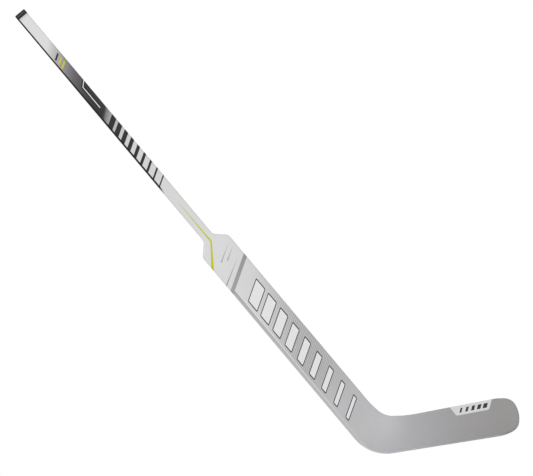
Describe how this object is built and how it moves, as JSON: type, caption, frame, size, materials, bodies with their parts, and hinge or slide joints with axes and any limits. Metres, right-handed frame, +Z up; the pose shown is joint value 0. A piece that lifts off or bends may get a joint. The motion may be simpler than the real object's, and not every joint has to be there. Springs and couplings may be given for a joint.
{
  "type": "hockey goalie stick",
  "caption": "Ice-hockey goalkeeper's stick: hollow rectangular shaft with end plug, wide foam-cored paddle with shoulders, rounded heel and a curved, open-faced blade.",
  "frame": {"origin": "on the shaft's centre line 45 mm above the paddle's shoulders, the middle of the stick hand's grip", "axes": "+X along the sole towards the toe, +Y from the forehand (graphic) face to the rear, +Z up with the sole flat on the ice"},
  "size_m": [1.0116, 0.0319, 1.1543],
  "materials": {
    "shaft_paint": "silver paint under clear coat",
    "plug": "black moulded, fine grain",
    "front_paint": "silver-grey paint under clear coat",
    "rear_paint": "silver-grey paint under clear coat",
    "foam": "rigid closed-cell foam",
    "heel_foam": "dense rigid foam",
    "rib": "carbon laminate"
  },
  "bodies": {
    "root": {"shaft_tube": "shaft_paint", "end_plug": "plug", "front_laminate": "front_paint", "rear_laminate": "rear_paint", "paddle_core_centre": "foam", "paddle_core_toe_side": "foam", "paddle_core_toe_edge": "foam", "paddle_rib_inner_toe_side": "rib", "paddle_rib_outer_toe_side": "rib", "paddle_core_heel_side": "foam", "paddle_core_heel_edge": "foam", "paddle_rib_inner_heel_side": "rib", "paddle_rib_outer_heel_side": "rib", "heel_insert": "heel_foam", "blade_core_upper": "foam", "blade_core_middle": "foam", "blade_core_lower": "foam", "blade_rib_upper": "rib", "blade_rib_lower": "rib"}
  },
  "joints": []
}
